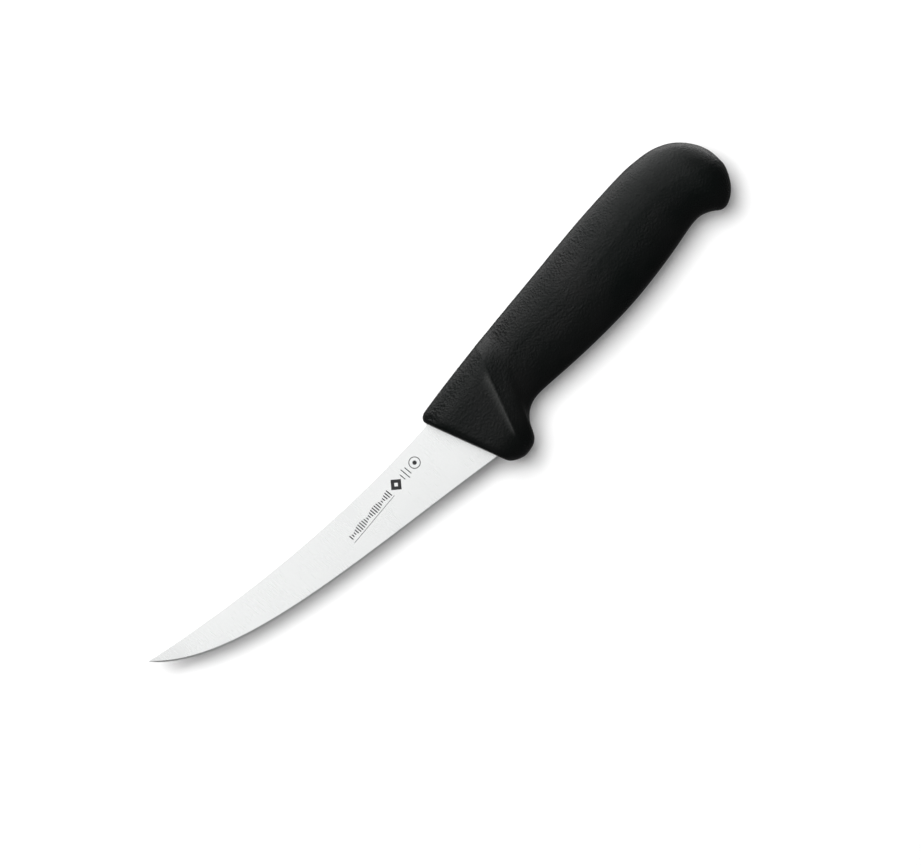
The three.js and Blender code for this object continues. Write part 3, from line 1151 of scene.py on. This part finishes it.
    def tang_sections(self) -> list[list[Vector]]:
        """Makes the sections of the tang.

        Returns:
            The sections, from its rounded end to the shoulder.
        """
        start = self.on_face(self.tang_middle).x + self.shoulder_depth
        outline = []
        for step in range(self.corner_steps, -1, -1):
            angle = step / self.corner_steps * math.pi / 2
            x = self.tang_end - self.tang_corner * (1 - math.sin(angle))
            half = self.tang_heights[1] / 2 - self.tang_corner * (1 - math.sin(math.pi / 2 - angle))
            outline.append((x, half))
        for step in range(1, self.plate_steps + 1):
            x = lerp(self.tang_end - self.tang_corner, start + self.front_length, step / self.plate_steps)
            share = (x - start) / (self.tang_end - start)
            outline.append((x, lerp(*self.tang_heights, share) / 2))
        rings = []
        thick = (self.spine_thickness / 2,) * 2
        for x, half in outline:
            top, bottom = Vector((x, self.tang_middle + half)), Vector((x, self.tang_middle - half))
            rings.append(self.tang_section(top, bottom, thick))
        depth, half = Vector((self.shoulder_depth, 0)), self.tang_heights[0] / 2
        top, bottom = self.on_face(self.tang_middle + half), self.on_face(self.tang_middle - half)
        thin = (self.ledge * self.heel_half(top.y), self.ledge * self.heel_half(bottom.y))
        rings.append(self.tang_section(top + depth, bottom + depth, thin))
        return rings

    def build(self, material: bpy.types.Material) -> bpy.types.Object:
        """Builds the blade.

        Args:
            material: the steel's finish.

        Returns:
            The blade's object.
        """
        loft = RingLoft(SECTION_POINTS)
        tang = [loft.add(section) for section in self.tang_sections()]
        inside = Vector((self.shoulder_depth, 0))
        rings = [loft.add(self.section(self.spine(0) + inside, self.edge(0) + inside, self.spine_thickness))]
        for step in range(self.stations + 1):
            share = self.last_share * step / self.stations
            thickness = lerp(self.spine_thickness, self.tip_thickness, share)
            rings.append(loft.add(self.section(self.spine(share), self.edge(share), thickness)))
        loft.cap(rings[-1])
        loft.cap(tang[0])
        mesh = loft.finish()
        sharpened = {vertex for ring in rings for vertex in ring[BEVEL_POINTS]}
        layer = mesh.faces.layers.float.new("bevel")
        for face in mesh.faces:
            face[layer] = float(all(vertex in sharpened for vertex in face.verts))
        piece = make_piece("blade_steel", mesh, material)
        sizes = (self.hole_radius * MM, 3 * self.spine_thickness * MM)
        drills = [drill(self.drawing.place(x, self.tang_middle), *sizes) for x in self.holes]
        carve(piece, drills, self.sharp_angle)
        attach(piece, ROOT)
        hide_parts("blade")
        return piece


# ---- studio
class Purpose(Enum):
    """What a light is for. Each of these is left out of the other."""

    REFLECTION = "shiny surfaces mirror it"
    SHADING = "it lights matt surfaces and throws the shadow"


@dataclass(frozen=True)
class SoftLight:
    """A rectangular soft light that faces the knife.

    Args:
        name: the light's name.
        purpose: what it is for.
        tilt: degrees from straight above, towards the spine's side.
        along: degrees that it is turned towards the butt.
        distance: from the knife, in metres.
        size: its extent upwards or across the knife, and its level extent, in metres.
        radiance: how bright it looks, where 1 is white.
    """

    name: str
    purpose: Purpose
    tilt: float
    along: float
    distance: float
    size: tuple[float, float]
    radiance: float

    def build(self, target: Vector) -> None:
        """Makes the light.

        Args:
            target: what it points at.
        """
        data = bpy.data.lights.new(self.name, "AREA")
        data.shape = "RECTANGLE"
        data.size, data.size_y = self.size
        data.energy = self.radiance * 4 * self.size[0] * self.size[1]
        lamp = bpy.data.objects.new(self.name, data)
        bpy.context.scene.collection.objects.link(lamp)
        tilt, along = math.radians(self.tilt), math.radians(self.along)
        level, up = math.sin(tilt) * math.cos(along), math.cos(tilt) * math.cos(along)
        outward = Vector((math.sin(along), level, up))
        lamp.location = target + outward * self.distance
        lamp.rotation_mode = "QUATERNION"
        lamp.rotation_quaternion = outward.to_track_quat("Z", "X")
        lamp.visible_camera = False
        lamp.visible_glossy = self.purpose is Purpose.REFLECTION
        lamp.visible_diffuse = self.purpose is Purpose.SHADING


@dataclass
class Studio:
    """The pale floor, the lights and the camera above the knife.

    Args:
        drawing: where the knife is drawn.
        view_width: what the picture takes in, in metres, at the knife's middle plane.
        distance: from the camera to that plane, in metres.
        roll: degrees that the knife's length is turned up from the picture's lower edge.
        aim: the point under the picture's centre, in the drawing.
        sensor: the camera's sensor width.
        floor_half: half of the floor's width, in metres.
        floor_grey: the floor's colour.
        floor_glow: how much light it gives off, which keeps it nearly white.
        room_glow: brightness of the surroundings.
        lights: the lights.
    """

    drawing: Drawing
    view_width: float = 0.3148
    distance: float = 1.5
    roll: float = 50.0
    aim: tuple[float, float] = (5.18, -10.16)
    sensor: float = 36.0
    floor_half: float = 4.0
    floor_grey: float = 0.86
    floor_glow: float = 0.17
    room_glow: float = 0.11
    lights: tuple[SoftLight, ...] = (
        SoftLight("overhead_panel", Purpose.REFLECTION, 15, 0, 1.6, (1.5, 1.85), 0.84),
        SoftLight("spine_panel", Purpose.REFLECTION, 64, 20, 1.2, (2.2, 0.7), 2.6),
        SoftLight("spine_bounce", Purpose.REFLECTION, 100, 20, 1.2, (2.2, 0.9), 1.35),
        SoftLight("butt_rim", Purpose.REFLECTION, 115, 62, 1.2, (2.2, 1.1), 1.7),
        SoftLight("shadow_key", Purpose.SHADING, 22, 0, 1.3, (0.85, 0.85), 7.6),
    )

    def build_floor(self) -> None:
        """Makes the floor that the knife lies on. Nothing mirrors it, and it lights nothing."""
        mesh = bmesh.new()
        bmesh.ops.create_grid(mesh, x_segments=8, y_segments=8, size=self.floor_half)
        floor = make_object("floor", mesh)
        constants = {
            "Base Color": (self.floor_grey,) * 3 + (1,),
            "Roughness": 0.9,
            "Specular IOR Level": 0.0,
            "Emission Color": (1, 1, 1, 1),
            "Emission Strength": self.floor_glow,
        }
        floor.data.materials.append(Board("pale_floor", constants).material)
        floor.visible_glossy = floor.visible_diffuse = floor.visible_shadow = False

    def build_camera(self) -> None:
        """Makes the camera, straight above the knife."""
        data = bpy.data.cameras.new("camera")
        data.sensor_width = self.sensor
        data.lens = self.sensor * self.distance / self.view_width
        camera = bpy.data.objects.new("camera", data)
        bpy.context.scene.collection.objects.link(camera)
        camera.location = self.drawing.place(*self.aim) + Vector((0, 0, self.distance))
        camera.rotation_euler = (0, 0, -math.radians(self.roll))
        bpy.context.scene.camera = camera

    def build_world(self) -> None:
        """Gives the surroundings a dim grey, and shows colours without a film look."""
        world = bpy.data.worlds.new("dim_room")
        world.use_nodes = True
        background = world.node_tree.nodes["Background"]
        background.inputs["Color"].default_value = (1, 1, 1, 1)
        background.inputs["Strength"].default_value = self.room_glow
        bpy.context.scene.world = world
        bpy.context.scene.view_settings.view_transform = "Standard"

    def build(self) -> None:
        """Makes the whole studio."""
        target = self.drawing.place(*self.aim)
        self.build_floor()
        self.build_camera()
        self.build_world()
        for light in self.lights:
            light.build(target)


def dress_core(drawing: Drawing) -> bpy.types.Object:
    """Gives the CAD model's core its finish.

    Args:
        drawing: where the knife is drawn.

    Returns:
        The core.
    """
    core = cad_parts["handle_core"]
    core.data.materials.clear()
    core.data.materials.append(HardCore().build(drawing.origin))
    return core


def main() -> None:
    """Builds the knife and the studio, and reports each piece."""
    drawing = Drawing()
    blade = Blade(drawing).build(GroundSteel().build(drawing.origin))
    core = dress_core(drawing)
    grip = GripSkin(drawing).build(MouldedSkin().build(drawing.origin))
    for piece in (blade, core, grip):
        LOG.info("built %s with %d faces", piece.name, len(piece.data.polygons))
    Studio(drawing).build()


if __name__ == "__main__":
    logging.basicConfig(level=logging.INFO)
    main()
